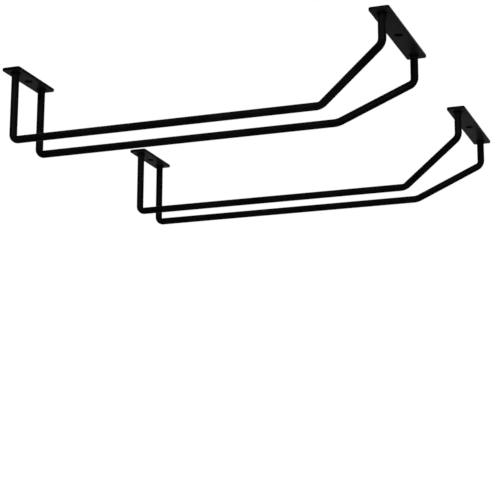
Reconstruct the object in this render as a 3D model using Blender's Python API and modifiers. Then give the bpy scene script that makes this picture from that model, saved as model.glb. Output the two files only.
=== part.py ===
"""A pair of hanging wine glass racks: each is two bent rods welded to two flat mounting plates.

Lengths are in metres. +X points to the mouths, where the glasses slide in, and +Z points up.
The origin is midway between the racks, in the plane of the plates' top faces.
"""

import math

import bmesh
import bpy
from mathutils import Matrix, Vector

# Rods: every length is measured on the rod's axis, from corner to corner of its bends
ROD_DIAMETER = 0.00635
RAIL_SPACING = 0.0450
RAIL_RUN = 0.2630
RAIL_DROP = 0.0575
MOUTH_RUN = 0.0560
MOUTH_SPACING = 0.0950
FRONT_UPRIGHT = 0.0230
REAR_BEND_RADIUS = 0.0045
MOUTH_BEND_RADIUS = 0.0100
FRONT_BEND_RADIUS = 0.0070

# Plates: an overhang runs from a rod's axis to the plate's end
PLATE_WIDTH = 0.0160
PLATE_THICKNESS = 0.0025
REAR_PLATE_OVERHANG = 0.0090
FRONT_PLATE_OVERHANG = 0.0095
PLATE_CORNER_RADIUS = 0.0020
PLATE_EDGE_RADIUS = 0.0004
SCREW_HOLE_DIAMETER = 0.0055
SCREW_HOLE_CHAMFER = 0.0008

# Weld beads: a fillet ring round each rod's end, under the plate
WELD_HEIGHT = 0.0045
WELD_WIDTH = 0.0016
WELD_THIN_EDGE = 0.0003

# The pair
RACK_PITCH = 0.2500

# Clearance between pieces that touch, and how far a cutter runs past what it cuts
SEAT_GAP = 0.0003
CUT_OVERRUN = 0.0010

# Distance within which a turned profile's coinciding points are joined
MERGE_DISTANCE = 0.00001

# Smoothness
ROD_BEVEL_RESOLUTION = 6
BEND_STEP = math.radians(9.0)
CORNER_SEGMENTS = 4
EDGE_SEGMENTS = 2
TURNED_STEPS = 24
WELD_PROFILE_STEPS = 4
SHARP_ANGLE = math.radians(40.0)

# Places along a rack, from the rack's own centre
REAR_X = -(RAIL_RUN + MOUTH_RUN) / 2
RISE_X = REAR_X + RAIL_RUN
FRONT_X = RISE_X + MOUTH_RUN
UNDERSIDE_Z = -PLATE_THICKNESS
RAIL_Z = UNDERSIDE_Z - RAIL_DROP
SLOPE_TOP_Z = UNDERSIDE_Z - FRONT_UPRIGHT
ROD_END_Z = UNDERSIDE_Z - SEAT_GAP

REAR_PLATE_LENGTH = RAIL_SPACING + 2 * REAR_PLATE_OVERHANG
FRONT_PLATE_LENGTH = MOUTH_SPACING + 2 * FRONT_PLATE_OVERHANG

# Looks: colour, roughness and metallic value of the powder coat on each kind of piece
ROD_COAT = ("rod_coat", (0.004, 0.004, 0.004), 0.45, 0.0)
PLATE_COAT = ("plate_coat", (0.011, 0.011, 0.011), 0.60, 0.0)
WELD_COAT = ("weld_coat", (0.004, 0.004, 0.004), 0.55, 0.0)


def clear_scene():
    for obj in list(bpy.data.objects):
        bpy.data.objects.remove(obj, do_unlink=True)


def new_collection(name):
    collection = bpy.data.collections.new(name)
    bpy.context.scene.collection.children.link(collection)
    return collection


def new_material(look):
    name, colour, roughness, metallic = look
    material = bpy.data.materials.new(name)
    material.use_nodes = True
    shader = material.node_tree.nodes["Principled BSDF"]
    shader.inputs["Base Color"].default_value = (*colour, 1.0)
    shader.inputs["Roughness"].default_value = roughness
    shader.inputs["Metallic"].default_value = metallic
    return material


def add_object(name, data, collection, parent, place):
    obj = bpy.data.objects.new(name, data)
    collection.objects.link(obj)
    obj.parent = parent
    obj.location = place
    return obj


def bend(before, corner, after, radius):
    """Points of the arc that rounds a corner of a path, from one tangent point to the other."""
    arriving = (corner - before).normalized()
    leaving = (after - corner).normalized()
    turn = arriving.angle(leaving)
    start = corner - arriving * radius * math.tan(turn / 2)
    inward = (leaving - arriving * arriving.dot(leaving)).normalized()
    centre = start + inward * radius
    axis = arriving.cross(leaving).normalized()
    steps = math.ceil(turn / BEND_STEP)
    return [
        centre + Matrix.Rotation(turn * step / steps, 3, axis) @ (start - centre)
        for step in range(steps + 1)
    ]


def rounded_path(corners, radii):
    """The path through these corners, with an arc of its own radius at each inner one."""
    points = [corners[0]]
    for index, radius in enumerate(radii, start=1):
        points += bend(*corners[index - 1 : index + 2], radius)
    return points + [corners[-1]]


def rod_curve(name, side):
    """One rod of a rack: rear upright, rail, rising mouth and front upright. Side is -1 or 1."""
    rail_y = side * RAIL_SPACING / 2
    mouth_y = side * MOUTH_SPACING / 2
    corners = [
        Vector((REAR_X, rail_y, ROD_END_Z)),
        Vector((REAR_X, rail_y, RAIL_Z)),
        Vector((RISE_X, rail_y, RAIL_Z)),
        Vector((FRONT_X, mouth_y, SLOPE_TOP_Z)),
        Vector((FRONT_X, mouth_y, ROD_END_Z)),
    ]
    radii = [REAR_BEND_RADIUS, MOUTH_BEND_RADIUS, FRONT_BEND_RADIUS]
    points = rounded_path(corners, radii)
    curve = bpy.data.curves.new(name, "CURVE")
    curve.dimensions = "3D"
    curve.bevel_depth = ROD_DIAMETER / 2
    curve.bevel_resolution = ROD_BEVEL_RESOLUTION
    curve.use_fill_caps = True
    spline = curve.splines.new("POLY")
    spline.points.add(len(points) - 1)
    for spline_point, point in zip(spline.points, points):
        spline_point.co = (*point, 1.0)
    spline.use_smooth = True
    return curve


def plate_mesh(name, length):
    """A flat bar lying across the rack, with rounded corners and its top face at height zero."""
    mesh = bpy.data.meshes.new(name)
    bar = bmesh.new()
    bmesh.ops.create_cube(bar, size=1.0)
    bmesh.ops.scale(bar, vec=(PLATE_WIDTH, length, PLATE_THICKNESS), verts=bar.verts)
    bmesh.ops.translate(bar, vec=(0, 0, -PLATE_THICKNESS / 2), verts=bar.verts)
    upright = [edge for edge in bar.edges if edge.verts[0].co.xy == edge.verts[1].co.xy]
    bmesh.ops.bevel(
        bar,
        geom=upright,
        offset=PLATE_CORNER_RADIUS,
        segments=CORNER_SEGMENTS,
        profile=0.5,
        affect="EDGES",
    )
    bar.to_mesh(mesh)
    bar.free()
    return mesh


def turned_object(name, profile, closed, collection, parent, place):
    """A solid turned about Z from (radius, height) points that run down its outer side."""
    count = len(profile)
    edges = [(index, (index + 1) % count) for index in range(count if closed else count - 1)]
    mesh = bpy.data.meshes.new(name)
    mesh.from_pydata([(radius, 0, height) for radius, height in profile], edges, [])
    obj = add_object(name, mesh, collection, parent, place)
    screw = obj.modifiers.new("turn", "SCREW")
    screw.axis = "Z"
    screw.angle = math.tau
    screw.steps = TURNED_STEPS
    screw.render_steps = TURNED_STEPS
    screw.use_merge_vertices = True
    screw.merge_threshold = MERGE_DISTANCE
    screw.use_smooth_shade = True
    return obj


def screw_hole_profile():
    """Half section of the hole's cutter: a round hole with a chamfer at the plate's underside."""
    radius = SCREW_HOLE_DIAMETER / 2
    top = CUT_OVERRUN
    bottom = -PLATE_THICKNESS - CUT_OVERRUN
    mouth_radius = radius + SCREW_HOLE_CHAMFER + CUT_OVERRUN
    return [
        (0, top),
        (radius, top),
        (radius, -PLATE_THICKNESS + SCREW_HOLE_CHAMFER),
        (mouth_radius, bottom),
        (0, bottom),
    ]


def weld_profile():
    """Half section of a weld bead: a hollow fillet between a rod and the plate above it."""
    inner = ROD_DIAMETER / 2 + SEAT_GAP
    width = WELD_WIDTH - WELD_THIN_EDGE
    height = WELD_HEIGHT - WELD_THIN_EDGE
    face = []
    for step in range(WELD_PROFILE_STEPS + 1):
        angle = math.pi / 2 * step / WELD_PROFILE_STEPS
        out = WELD_THIN_EDGE + width * (1 - math.sin(angle))
        down = WELD_THIN_EDGE + height * (1 - math.cos(angle))
        face.append((inner + out, -down))
    return [(inner + WELD_WIDTH, 0), *face, (inner, -WELD_HEIGHT), (inner, 0)]


def add_rod(name, side, rack, pieces, coat):
    rod = add_object(name, rod_curve(name, side), pieces, rack, (0, 0, 0))
    rod.data.materials.append(coat)


def add_plate(name, length, place, rack, pieces, cutters, coat):
    plate = add_object(name, plate_mesh(name, length), pieces, rack, place)
    plate.data.materials.append(coat)
    rim = plate.modifiers.new("rounded rim", "BEVEL")
    rim.width = PLATE_EDGE_RADIUS
    rim.segments = EDGE_SEGMENTS
    rim.limit_method = "ANGLE"
    rim.angle_limit = SHARP_ANGLE
    cutter_name = name + "_hole_cutter"
    cutter = turned_object(cutter_name, screw_hole_profile(), False, cutters, rack, place)
    cutter.hide_render = True
    cutter.display_type = "WIRE"
    hole = plate.modifiers.new("screw hole", "BOOLEAN")
    hole.operation = "DIFFERENCE"
    hole.solver = "EXACT"
    hole.object = cutter


def add_weld(name, place, rack, pieces, coat):
    weld = turned_object(name, weld_profile(), True, pieces, rack, place)
    weld.data.materials.append(coat)


def add_rack(prefix, centre_y, outward, pieces, cutters, coats):
    """One rack. Outward is the side, -1 or 1, that faces away from the other rack."""
    rod_coat, plate_coat, weld_coat = coats
    rack = add_object(prefix, None, pieces, None, (0, centre_y, 0))
    plates = (
        ("rear_plate", REAR_PLATE_LENGTH, REAR_X),
        ("front_plate", FRONT_PLATE_LENGTH, FRONT_X),
    )
    for name, length, x in plates:
        add_plate(f"{prefix}_{name}", length, (x, 0, 0), rack, pieces, cutters, plate_coat)
    for name, side in (("outer", outward), ("inner", -outward)):
        add_rod(f"{prefix}_{name}_rail", side, rack, pieces, rod_coat)
        rear_place = (REAR_X, side * RAIL_SPACING / 2, ROD_END_Z)
        front_place = (FRONT_X, side * MOUTH_SPACING / 2, ROD_END_Z)
        add_weld(f"{prefix}_rear_{name}_weld", rear_place, rack, pieces, weld_coat)
        add_weld(f"{prefix}_front_{name}_weld", front_place, rack, pieces, weld_coat)


def main():
    clear_scene()
    pieces = new_collection("hanging_wine_glass_racks")
    cutters = new_collection("cutters")
    coats = [new_material(look) for look in (ROD_COAT, PLATE_COAT, WELD_COAT)]
    for prefix, side in (("left_rack", -1), ("right_rack", 1)):
        add_rack(prefix, side * RACK_PITCH / 2, side, pieces, cutters, coats)


main()
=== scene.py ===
"""The looks of a pair of hanging wine glass racks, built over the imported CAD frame.

Lengths are in metres, in the frame's axes: +X points to the mouths, where the glasses slide in, and
+Z points up. The plates' top faces lie at height zero.
"""

import math

import bmesh
import bpy
from mathutils import Matrix, Quaternion, Vector, noise


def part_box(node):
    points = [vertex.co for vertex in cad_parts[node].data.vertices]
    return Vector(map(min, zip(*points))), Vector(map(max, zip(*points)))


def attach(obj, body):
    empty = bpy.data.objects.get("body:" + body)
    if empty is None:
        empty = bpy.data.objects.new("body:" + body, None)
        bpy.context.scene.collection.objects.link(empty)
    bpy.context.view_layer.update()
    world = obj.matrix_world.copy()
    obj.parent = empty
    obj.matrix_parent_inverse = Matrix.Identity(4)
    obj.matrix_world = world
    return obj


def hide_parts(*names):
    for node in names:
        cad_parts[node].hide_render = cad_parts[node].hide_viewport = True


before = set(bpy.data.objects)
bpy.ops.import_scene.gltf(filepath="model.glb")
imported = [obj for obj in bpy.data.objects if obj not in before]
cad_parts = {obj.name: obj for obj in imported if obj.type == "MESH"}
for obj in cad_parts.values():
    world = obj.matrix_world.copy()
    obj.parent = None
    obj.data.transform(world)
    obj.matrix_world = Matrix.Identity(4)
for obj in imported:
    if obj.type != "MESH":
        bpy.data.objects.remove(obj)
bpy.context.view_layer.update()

BODY = "root"
RACKS = ("left_rack", "right_rack")

# Rods: lengths and radii on the rod's axis. The rest comes from the frame
MOUTH_RUN = 0.0560
FRONT_UPRIGHT = 0.0230
REAR_BEND_RADIUS = 0.0045
MOUTH_BEND_RADIUS = 0.0100
FRONT_BEND_RADIUS = 0.0070
ROD_SIDES = 48
BEND_STEP = math.radians(4.0)
RUN_STEP = 0.0080

# A bent rod flattens a little on the way round: how much it thins, and how much of that it spreads
FLATTENING_SHARE = 0.05
SPREAD_SHARE = 0.4

# Plates. The margin is a narrow strip of flat face beside each rim, past which the shading is flat
PLATE_CORNER_RADIUS = 0.0020
RIM_RADIUS = 0.0005
SCREW_HOLE_DIAMETER = 0.0055
SCREW_HOLE_CHAMFER = 0.0008
FLAT_MARGIN = 0.0002
CORNER_STEPS = 12
RIM_STEPS = 5

# A plate's corners as the signs of X and Y, counterclockwise
CORNER_SIGNS = ((1, 1), (-1, 1), (-1, -1), (1, -1))

# Weld beads: a concave fillet round each rod's end, with the ripples of the weld under the coat.
# The ripples and a slower waver are shares of the bead's size
WELD_HEIGHT = 0.0042
WELD_WIDTH = 0.0015
WELD_SIDES = 96
WELD_FACE_STEPS = 12
RIPPLE_COUNT = 17
RIPPLE_SHARE = 0.035
WAVER_SHARE = 0.07
WAVER_SIZE = 0.0040

# How far one welded piece reaches into the next, so that no seam shows
SINK = 0.0001

# Faces that meet at more than this angle keep a sharp edge between them
SHARP_ANGLE = math.radians(40.0)

# Powder coat: the size of the marks in each layer of noise, and how much finer detail it has
DRIFT_SIZE = 0.0180
DRIFT_DETAIL = 7.0
WEAR_SIZE = 0.0040
WEAR_DETAIL = 4.0
PEEL_SIZE = 0.0016
PEEL_DETAIL = 2.0
GRAIN_SIZE = 0.0003
GRAIN_DETAIL = 2.0

# The noise values between which a layer goes from least to most, and how much of the wear then shows
DRIFT_RANGE = (0.35, 0.65)
WEAR_RANGE = (0.4, 0.7)
GRAIN_RANGE = (0.3, 0.7)
WEAR_SHARES = (0.15, 1.0)

# Masks: the width of an edge, how far a nook reaches, and the values between which a mask goes from
# 0 to 1. They are the likeness of two normals, the share of open sky and how level a face is
EDGE_RADIUS = 0.0006
# The nook reaches are how far the shade painted in holes and corners spreads from them
NOOK_REACH = 0.0030
PLATE_NOOK_REACH = 0.0070
EDGE_RANGE = (0.99, 0.90)
NOOK_RANGE = (0.97, 0.50)
# The narrow faces' range sets where shade is painted on a flat bar's sides
NARROW_FACE_RANGE = (0.9, 0.5)
MASK_SAMPLES = 8

# Relief and gloss of the coat. The grain's depth is a share of the orange peel's
PEEL_DEPTH = 0.00010
PLATE_PEEL_DEPTH = 0.00006
PEEL_STRENGTH = 1.0
GRAIN_DEPTH_SHARE = 0.2
GRAIN_STRENGTH = 0.5
ROUGHNESS_SPREAD = 0.06
NOOK_ROUGHNESS = 0.9
SPECULAR_LEVEL = 0.006

# Camera, at the photograph's viewing angle
CAMERA_PLACE = Vector((0.4394, -1.2012, -0.4230))
CAMERA_AIM = Vector((-0.0169, 0.0242, -0.1260))
CAMERA_ROLL = math.radians(0.19)
CAMERA_LENS_MM = 110.11
SENSOR_WIDTH_MM = 36.0

# Surround and floor. The ambient level is the surround's strength as a light
AMBIENT_LEVEL = 0.06
FLOOR_HEIGHT = -2.2
FLOOR_SIZE = 80.0
FLOOR_SEGMENTS = 8
FLOOR_GREY = 0.85
FLOOR_ROUGHNESS = 0.8
FLOOR_GLOW = 0.75

# Lamps: round soft ones, which all face the same point
LAMP_AIM = Vector((0.0, 0.0, -0.03))
LAMPS = {
    "low_lamp": {"place": (0.05, -0.30, -1.20), "width": 0.6, "watts": 5.5},
    "front_lamp": {"place": (0.0, -1.48, 0.38), "width": 0.4, "watts": 26.0},
    "side_lamp": {"place": (0.70, -0.75, 0.10), "width": 0.4, "watts": 8.0},
    "top_lamp": {"place": (0.2, 0.6, 1.6), "width": 1.2, "watts": 12.0},
}

# The whole range of a share
WHOLE = (0.0, 1.0)


def add_piece(name, mesh, node, coat):
    """Puts a finished mesh in the scene in place of its CAD node."""
    obj = bpy.data.objects.new(name, mesh)
    bpy.context.scene.collection.objects.link(obj)
    mesh.materials.append(coat)
    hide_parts(node)
    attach(obj, BODY)


def mesh_of_rings(name, rings, closed):
    """A mesh through rings of as many points each. It closes on itself, or both ends get a cap."""
    build = bmesh.new()
    rows = [[build.verts.new(point) for point in ring] for ring in rings]
    sides = len(rings[0])
    pairs = list(zip(rows, rows[1:]))
    if closed:
        pairs.append((rows[-1], rows[0]))
    for near, far in pairs:
        for index in range(sides):
            following = (index + 1) % sides
            build.faces.new((near[index], near[following], far[following], far[index]))
    if not closed:
        build.faces.new(rows[0])
        build.faces.new(rows[-1])
    bmesh.ops.recalc_face_normals(build, faces=build.faces)
    mesh = bpy.data.meshes.new(name)
    build.to_mesh(mesh)
    build.free()
    mesh.shade_smooth()
    mesh.set_sharp_from_angle(angle=SHARP_ANGLE)
    return mesh


def middle_at(node, height):
    """The middle of a CAD node's box, seen from above, at a height."""
    low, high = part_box(node)
    return Vector(((low.x + high.x) / 2, (low.y + high.y) / 2, height))


def rod_radius(rack, name):
    """A rod's radius: its rear upright stands at the middle of the rear plate's width."""
    plate_low, plate_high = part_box(f"{rack}_rear_plate")
    rod_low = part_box(f"{rack}_{name}_rail")[0]
    return (plate_low.x + plate_high.x) / 2 - rod_low.x


def quarter_steps(count):
    """Angles from zero to a right angle."""
    return [math.pi / 2 * step / count for step in range(count + 1)]


# Rods


def straight(start, end):
    """Stations along a straight run: place, direction, squeeze and the side that is squeezed."""
    along = end - start
    steps = max(1, round(along.length / RUN_STEP))
    return [
        (start + along * step / steps, along.normalized(), 0.0, Vector((0, 0, 0)))
        for step in range(steps)
    ]


def bend(before, corner, after, radius):
    """Stations round a bend, from one tangent point to the other."""
    arriving = (corner - before).normalized()
    leaving = (after - corner).normalized()
    turn = arriving.angle(leaving)
    start = corner - arriving * radius * math.tan(turn / 2)
    inward = (leaving - arriving * arriving.dot(leaving)).normalized()
    centre = start + inward * radius
    axis = arriving.cross(leaving).normalized()
    steps = math.ceil(turn / BEND_STEP)
    stations = []
    for step in range(steps + 1):
        rotation = Matrix.Rotation(turn * step / steps, 3, axis)
        squeeze = FLATTENING_SHARE * math.sin(math.pi * step / steps)
        place = centre + rotation @ (start - centre)
        stations.append((place, rotation @ arriving, squeeze, rotation @ inward))
    return stations


def rod_stations(corners, radii):
    """Stations along the whole rod, through its corners with a bend at each inner one."""
    bends = [bend(*corners[index : index + 3], radius) for index, radius in enumerate(radii)]
    stations = []
    place = corners[0]
    for turned in bends:
        stations += straight(place, turned[0][0]) + turned[:-1]
        place = turned[-1][0]
    stations += straight(place, corners[-1])
    return stations + [(corners[-1], *stations[-1][1:])]


def rod_rings(stations, radius):
    """Round sections square to the rod, carried along it without twist and squeezed in the bends."""
    normal = Vector((1, 0, 0))
    direction = stations[0][1]
    rings = []
    for place, heading, squeeze, inward in stations:
        normal = direction.rotation_difference(heading) @ normal
        direction = heading
        side = direction.cross(normal)
        across = direction.cross(inward)
        ring = []
        for index in range(ROD_SIDES):
            angle = math.tau * index / ROD_SIDES
            out = (normal * math.cos(angle) + side * math.sin(angle)) * radius
            thinned = inward * out.dot(inward) * squeeze
            spread = across * out.dot(across) * squeeze * SPREAD_SHARE
            ring.append(place + out - thinned + spread)
        rings.append(ring)
    return rings


def add_rod(rack, name, coat):
    """One rod: rear upright, rail, rising mouth and front upright."""
    node = f"{rack}_{name}_rail"
    low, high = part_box(node)
    rear_low, rear_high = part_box(f"{rack}_rear_plate")
    front_low, front_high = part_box(f"{rack}_front_plate")
    rear_x = (rear_low.x + rear_high.x) / 2
    front_x = (front_low.x + front_high.x) / 2
    centre_y = (front_low.y + front_high.y) / 2
    radius = rod_radius(rack, name)
    if low.y > centre_y:
        rail_y = low.y + radius
        mouth_y = high.y - radius
    else:
        rail_y = high.y - radius
        mouth_y = low.y + radius
    rail_z = low.z + radius
    end_z = rear_low.z + SINK
    corners = [
        Vector((rear_x, rail_y, end_z)),
        Vector((rear_x, rail_y, rail_z)),
        Vector((front_x - MOUTH_RUN, rail_y, rail_z)),
        Vector((front_x, mouth_y, rear_low.z - FRONT_UPRIGHT)),
        Vector((front_x, mouth_y, end_z)),
    ]
    radii = [REAR_BEND_RADIUS, MOUTH_BEND_RADIUS, FRONT_BEND_RADIUS]
    rings = rod_rings(rod_stations(corners, radii), radius)
    mesh = mesh_of_rings(node, rings, closed=False)
    add_piece(f"{node}_rod", mesh, node, coat)


# Plates


def rounded_outline(half_x, half_y, radius, height):
    """A rectangle with round corners, at a height, run through counterclockwise."""
    points = []
    for turn, (sign_x, sign_y) in enumerate(CORNER_SIGNS):
        centre = Vector((sign_x * (half_x - radius), sign_y * (half_y - radius), height))
        for step in range(CORNER_STEPS + 1):
            angle = math.pi / 2 * (turn + step / CORNER_STEPS)
            points.append(centre + Vector((math.cos(angle), math.sin(angle), 0)) * radius)
    return points


def circle(radius, height):
    """A circle at a height, with as many points to a quarter as an outline has at a corner."""
    points = []
    count = CORNER_STEPS + 1
    for turn in range(len(CORNER_SIGNS)):
        for step in range(count):
            angle = math.pi / 2 * (turn + (step + 0.5) / count)
            out = Vector((math.cos(angle), math.sin(angle), 0)) * radius
            points.append(out + Vector((0, 0, height)))
    return points


def rim_profile(thickness):
    """Down a plate's outside, as (distance in, height): a margin and round rim at both faces."""
    upper = [(RIM_RADIUS + FLAT_MARGIN, 0.0)]
    for angle in quarter_steps(RIM_STEPS):
        upper.append((RIM_RADIUS * (1 - math.sin(angle)), -RIM_RADIUS * (1 - math.cos(angle))))
    lower = [(inset, -thickness - height) for inset, height in reversed(upper)]
    return upper + lower


def hole_profile(thickness):
    """Up a plate's screw hole, as (radius, height), from the chamfer at the underside to the top."""
    radius = SCREW_HOLE_DIAMETER / 2
    mouth_radius = radius + SCREW_HOLE_CHAMFER
    return [
        (mouth_radius + FLAT_MARGIN, -thickness),
        (mouth_radius, -thickness),
        (radius, -thickness + SCREW_HOLE_CHAMFER),
        (radius, 0.0),
        (radius + FLAT_MARGIN, 0.0),
    ]


def plate_rings(half_x, half_y, thickness):
    """Rings down the outside, across the underside, up the screw hole and back over the top."""
    outside = [
        rounded_outline(half_x - inset, half_y - inset, PLATE_CORNER_RADIUS - inset, height)
        for inset, height in rim_profile(thickness)
    ]
    return outside + [circle(radius, height) for radius, height in hole_profile(thickness)]


def add_plate(rack, name, coat):
    """One flat bar with its screw hole."""
    node = f"{rack}_{name}_plate"
    low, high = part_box(node)
    half = (high - low) / 2
    centre = middle_at(node, high.z)
    rings = [
        [point + centre for point in ring] for ring in plate_rings(half.x, half.y, high.z - low.z)
    ]
    mesh = mesh_of_rings(node, rings, closed=True)
    add_piece(f"{node}_bar", mesh, node, coat)


# Weld beads


def weld_outline(width, height):
    """Half section of a bead, as (distance out, distance down) from the corner of rod and plate."""
    face = []
    for angle in quarter_steps(WELD_FACE_STEPS):
        face.append((width * (1 - math.sin(angle)), height * (1 - math.cos(angle))))
    return face + [(-SINK, height), (-SINK, -SINK), (width, -SINK)]


def add_weld(rack, place, name, coat):
    """One bead round a rod's end, rippled and a little uneven on the way round."""
    node = f"{rack}_{place}_{name}_weld"
    underside_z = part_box(f"{rack}_rear_plate")[0].z
    radius = rod_radius(rack, name)
    centre = middle_at(node, underside_z)
    rings = []
    for index in range(WELD_SIDES):
        angle = math.tau * index / WELD_SIDES
        outward = Vector((math.cos(angle), math.sin(angle), 0))
        ripple = RIPPLE_SHARE * abs(math.sin(angle * RIPPLE_COUNT / 2))
        waver = WAVER_SHARE * noise.noise((centre + outward * radius) / WAVER_SIZE)
        size = 1 - RIPPLE_SHARE + ripple + waver
        section = weld_outline(WELD_WIDTH * size, WELD_HEIGHT * size)
        rings.append(
            [centre + outward * (radius + out) - Vector((0, 0, down)) for out, down in section]
        )
    mesh = mesh_of_rings(node, rings, closed=True)
    add_piece(f"{node}_bead", mesh, node, coat)


# Shader nodes


def add_node(tree, kind, inputs=(), **settings):
    """A shader node with these settings. An input is given a value, or a socket to be linked to."""
    made = tree.nodes.new(kind)
    for key, value in settings.items():
        setattr(made, key, value)
    for socket, value in inputs:
        if isinstance(value, bpy.types.NodeSocket):
            tree.links.new(value, made.inputs[socket])
        else:
            made.inputs[socket].default_value = value
    return made


def new_material(name):
    """A new material, its node tree and its main shader."""
    material = bpy.data.materials.new(name)
    material.use_nodes = True
    return material, material.node_tree, material.node_tree.nodes["Principled BSDF"]


def grey(value):
    """A neutral colour, from a linear value."""
    return (value, value, value, 1.0)


def calculated(tree, operation, *values):
    """The result of a mathematical operation on one or two values or sockets."""
    made = add_node(tree, "ShaderNodeMath", enumerate(values), operation=operation)
    return made.outputs["Value"]


def ranged(tree, value, source, target=WHOLE):
    """A value carried from its own range to another, and held at the ends of that."""
    inputs = [
        ("Value", value),
        ("From Min", source[0]),
        ("From Max", source[1]),
        ("To Min", target[0]),
        ("To Max", target[1]),
    ]
    return add_node(tree, "ShaderNodeMapRange", inputs).outputs["Result"]


def noise_of(tree, size, detail):
    """Noise with marks of this size, over the object's own coordinates."""
    place = add_node(tree, "ShaderNodeTexCoord").outputs["Object"]
    inputs = [("Vector", place), ("Scale", 1 / size), ("Detail", detail)]
    return add_node(tree, "ShaderNodeTexNoise", inputs).outputs["Fac"]


def mixed_colour(tree, factor, first, second):
    """From the first colour to the second as the factor rises. Each is a socket or a grey value."""
    mix = add_node(tree, "ShaderNodeMix", [("Factor", factor)], data_type="RGBA")
    sockets = [socket for socket in mix.inputs if socket.type == "RGBA"]
    for socket, value in zip(sockets, (first, second)):
        if isinstance(value, bpy.types.NodeSocket):
            tree.links.new(value, socket)
        else:
            socket.default_value = grey(value)
    return next(socket for socket in mix.outputs if socket.type == "RGBA")


# Powder coat


def edge_mask(tree):
    """1 on rounded edges, 0 on flat and gently curved faces."""
    inputs = [("Radius", EDGE_RADIUS)]
    rounded = add_node(tree, "ShaderNodeBevel", inputs, samples=MASK_SAMPLES).outputs["Normal"]
    normal = add_node(tree, "ShaderNodeNewGeometry").outputs["Normal"]
    inputs = [(0, rounded), (1, normal)]
    alike = add_node(tree, "ShaderNodeVectorMath", inputs, operation="DOT_PRODUCT")
    return ranged(tree, alike.outputs["Value"], EDGE_RANGE)


def nook_mask(tree, reach):
    """1 deep in holes and corners where pieces meet, where shade is painted, and 0 on open faces."""
    inputs = [("Distance", reach)]
    open_share = add_node(tree, "ShaderNodeAmbientOcclusion", inputs, samples=MASK_SAMPLES)
    return ranged(tree, open_share.outputs["AO"], NOOK_RANGE)


def narrow_face_mask(tree):
    """1 on upright faces, a flat bar's narrow ones, where shade is painted, and 0 on its broad ones.
    """
    normal = add_node(tree, "ShaderNodeTexCoord").outputs["Normal"]
    upward = add_node(tree, "ShaderNodeSeparateXYZ", [("Vector", normal)]).outputs["Z"]
    return ranged(tree, calculated(tree, "ABSOLUTE", upward), NARROW_FACE_RANGE)


def wear_mask(tree):
    """How worn the coat is: patchy along rounded edges, and not at all elsewhere."""
    edge = edge_mask(tree)
    patches = ranged(tree, noise_of(tree, WEAR_SIZE, WEAR_DETAIL), WEAR_RANGE, WEAR_SHARES)
    return calculated(tree, "MULTIPLY", edge, patches)


def coat_roughness(tree, grain, in_nook, roughness):
    """Roughness that varies with the grain, and is dull in nooks, which mirror little light."""
    spread = (roughness - ROUGHNESS_SPREAD, roughness + ROUGHNESS_SPREAD)
    grained = ranged(tree, grain, GRAIN_RANGE, spread)
    dull = ranged(tree, in_nook, WHOLE, (0.0, NOOK_ROUGHNESS))
    return calculated(tree, "MAXIMUM", grained, dull)


def relief(tree, height, strength, depth, base=None):
    """The normal of a surface with this relief, laid over a base normal where one is given."""
    inputs = [("Height", height), ("Strength", strength), ("Distance", depth)]
    if base is not None:
        inputs.append(("Normal", base))
    return add_node(tree, "ShaderNodeBump", inputs).outputs["Normal"]


def powder_coat(name, dark, light, worn, painted_nook_shade, nook_reach, roughness, peel_depth, narrow=None):
    """Black powder coat with orange peel and a fine grain.

    Its greys are dark and light, which it drifts between, and worn on the edges. Shade is painted
    in holes and corners with the nook grey and, where one is given, on a flat bar's narrow faces
    with the narrow grey.
    """
    material, tree, shader = new_material(name)
    drift = ranged(tree, noise_of(tree, DRIFT_SIZE, DRIFT_DETAIL), DRIFT_RANGE)
    peel = noise_of(tree, PEEL_SIZE, PEEL_DETAIL)
    grain = noise_of(tree, GRAIN_SIZE, GRAIN_DETAIL)
    wear = wear_mask(tree)
    in_nook = nook_mask(tree, nook_reach)
    colour = mixed_colour(tree, drift, dark, light)
    # Painted shade: a flat bar's narrow faces go near-black
    if narrow is not None:
        colour = mixed_colour(tree, narrow_face_mask(tree), colour, narrow)
    colour = mixed_colour(tree, wear, colour, worn)
    # Painted shade: the colour goes to a near-black grey in holes and corners
    colour = mixed_colour(tree, in_nook, colour, painted_nook_shade)
    rough = coat_roughness(tree, grain, in_nook, roughness)
    grained = relief(tree, grain, GRAIN_STRENGTH, peel_depth * GRAIN_DEPTH_SHARE)
    normal = relief(tree, peel, PEEL_STRENGTH, peel_depth, grained)
    tree.links.new(colour, shader.inputs["Base Color"])
    tree.links.new(rough, shader.inputs["Roughness"])
    tree.links.new(normal, shader.inputs["Normal"])
    shader.inputs["Specular IOR Level"].default_value = SPECULAR_LEVEL
    return material


def rod_coat():
    """The rods' coat: deep black."""
    return powder_coat(
        "rod_powder_coat",
        dark=0.0006,
        light=0.0020,
        worn=0.0060,
        # A painted shade in holes and corners
        painted_nook_shade=0.0004,
        nook_reach=NOOK_REACH,
        roughness=0.36,
        peel_depth=PEEL_DEPTH,
    )


def plate_coat():
    """The plates' coat: a lighter satin black on the broad faces, with shade painted round the sides.
    """
    return powder_coat(
        "plate_powder_coat",
        dark=0.0060,
        light=0.0090,
        worn=0.0040,
        # A painted shade in holes and corners
        painted_nook_shade=0.0005,
        nook_reach=PLATE_NOOK_REACH,
        roughness=0.36,
        peel_depth=PLATE_PEEL_DEPTH,
        # A painted shade on the plates' narrow faces
        narrow=0.0005,
    )


def weld_coat():
    """The weld beads' coat: as the rods', but duller."""
    return powder_coat(
        "weld_powder_coat",
        dark=0.0008,
        light=0.0022,
        # A painted shade in holes and corners
        worn=0.0060,
        painted_nook_shade=0.0004,
        nook_reach=NOOK_REACH,
        roughness=0.50,
        peel_depth=PEEL_DEPTH,
    )


# Stage, light and camera


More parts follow.
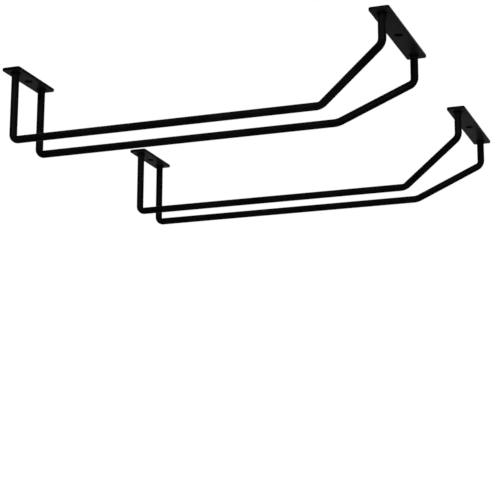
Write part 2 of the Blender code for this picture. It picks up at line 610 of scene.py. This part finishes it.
def add_camera():
    data = bpy.data.cameras.new("camera")
    data.lens = CAMERA_LENS_MM
    data.sensor_width = SENSOR_WIDTH_MM
    camera = bpy.data.objects.new("camera", data)
    bpy.context.scene.collection.objects.link(camera)
    camera.location = CAMERA_PLACE
    camera.rotation_mode = "QUATERNION"
    facing = (CAMERA_AIM - CAMERA_PLACE).to_track_quat("-Z", "Y")
    camera.rotation_quaternion = facing @ Quaternion((0, 0, 1), CAMERA_ROLL)
    bpy.context.scene.camera = camera


def seen_directly(tree):
    """1 for rays from the camera, and for those that a reflection or clear material sends on."""
    path = add_node(tree, "ShaderNodeLightPath").outputs
    either = calculated(tree, "MAXIMUM", path["Is Camera Ray"], path["Is Glossy Ray"])
    return calculated(tree, "MAXIMUM", either, path["Is Transmission Ray"])


def add_world():
    """A surround that looks white and is a dim light."""
    world = bpy.data.worlds.new("white surround")
    bpy.context.scene.world = world
    world.use_nodes = True
    tree = world.node_tree
    background = tree.nodes["Background"]
    background.inputs["Color"].default_value = grey(1.0)
    strength = ranged(tree, seen_directly(tree), WHOLE, (AMBIENT_LEVEL, 1.0))
    tree.links.new(strength, background.inputs["Strength"])


def floor_material():
    """Pale and dull, with a glow that shows to the camera and in reflections but lights nothing."""
    material, tree, shader = new_material("pale_floor")
    shader.inputs["Base Color"].default_value = grey(FLOOR_GREY)
    shader.inputs["Roughness"].default_value = FLOOR_ROUGHNESS
    shader.inputs["Emission Color"].default_value = grey(1.0)
    glow = ranged(tree, seen_directly(tree), WHOLE, (0.0, FLOOR_GLOW))
    tree.links.new(glow, shader.inputs["Emission Strength"])
    return material


def add_floor():
    build = bmesh.new()
    bmesh.ops.create_grid(
        build, x_segments=FLOOR_SEGMENTS, y_segments=FLOOR_SEGMENTS, size=FLOOR_SIZE / 2
    )
    mesh = bpy.data.meshes.new("floor")
    build.to_mesh(mesh)
    build.free()
    floor = bpy.data.objects.new("floor", mesh)
    bpy.context.scene.collection.objects.link(floor)
    floor.location.z = FLOOR_HEIGHT
    mesh.materials.append(floor_material())


def add_lamp(name, place, width, watts):
    data = bpy.data.lights.new(name, "AREA")
    data.shape = "DISK"
    data.size = width
    data.energy = watts
    lamp = bpy.data.objects.new(name, data)
    bpy.context.scene.collection.objects.link(lamp)
    lamp.location = place
    lamp.rotation_mode = "QUATERNION"
    lamp.rotation_quaternion = (LAMP_AIM - Vector(place)).to_track_quat("-Z", "Y")


def dress_rack(rack, rod_finish, plate_finish, weld_finish):
    """The eight pieces of one rack."""
    for place in ("rear", "front"):
        add_plate(rack, place, plate_finish)
    for name in ("outer", "inner"):
        add_rod(rack, name, rod_finish)
        for place in ("rear", "front"):
            add_weld(rack, place, name, weld_finish)


def main():
    add_camera()
    finishes = (rod_coat(), plate_coat(), weld_coat())
    for rack in RACKS:
        dress_rack(rack, *finishes)
    add_world()
    add_floor()
    for name, lamp in LAMPS.items():
        add_lamp(name, **lamp)
    bpy.context.scene.view_settings.view_transform = "Standard"


main()
